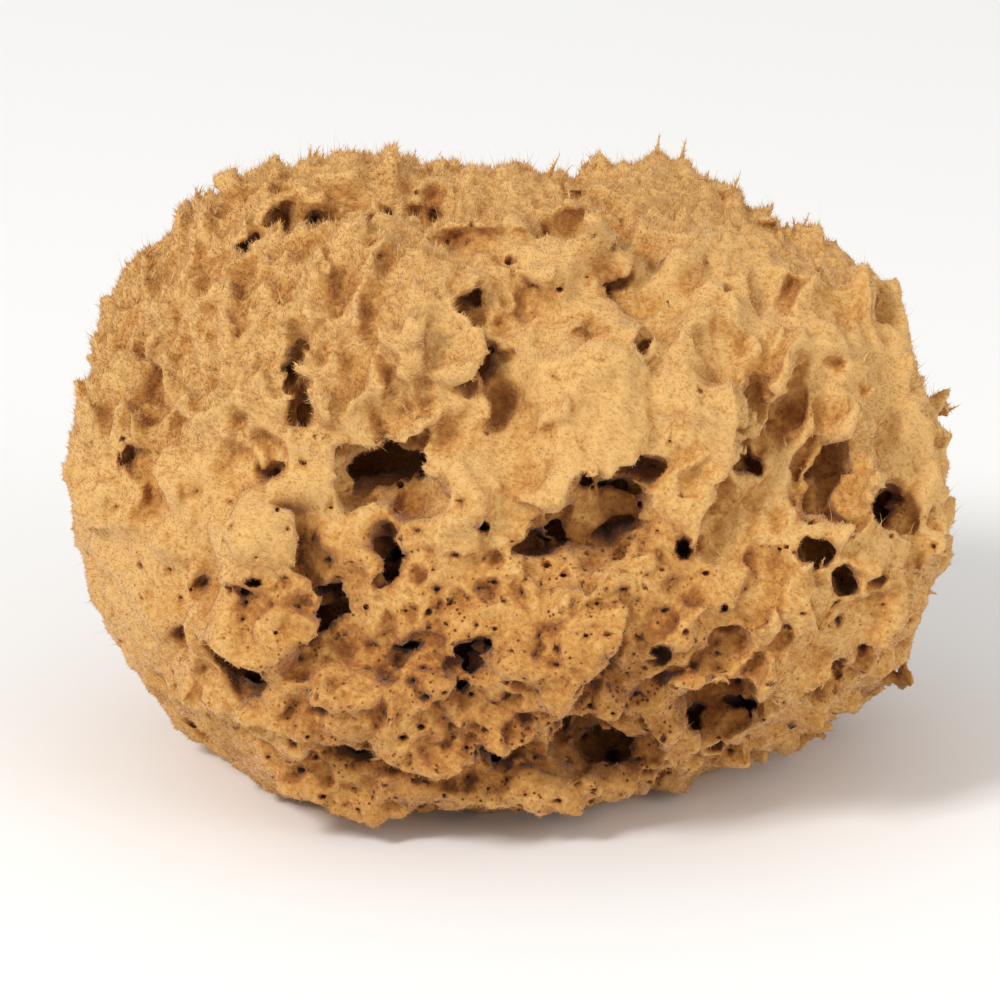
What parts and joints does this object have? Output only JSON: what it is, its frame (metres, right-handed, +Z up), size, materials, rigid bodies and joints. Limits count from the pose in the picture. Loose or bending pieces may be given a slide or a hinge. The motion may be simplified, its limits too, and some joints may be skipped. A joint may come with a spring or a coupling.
{
  "type": "sea sponge",
  "caption": "Natural bath sponge: a rounded loaf of golden horny fibre with lobes, folds, caves and fine pores, trimmed flat underneath.",
  "frame": {"origin": "middle of the box that holds the sponge, on the surface that the trimmed base rests on", "axes": "+X along the sponge's length, +Z up from the trimmed base, -Y towards the side that the picture shows"},
  "size_m": [0.1466, 0.1164, 0.1041],
  "materials": {
    "spongin": "dull, fibrous"
  },
  "bodies": {
    "root": {"sponge": "spongin"}
  },
  "joints": []
}
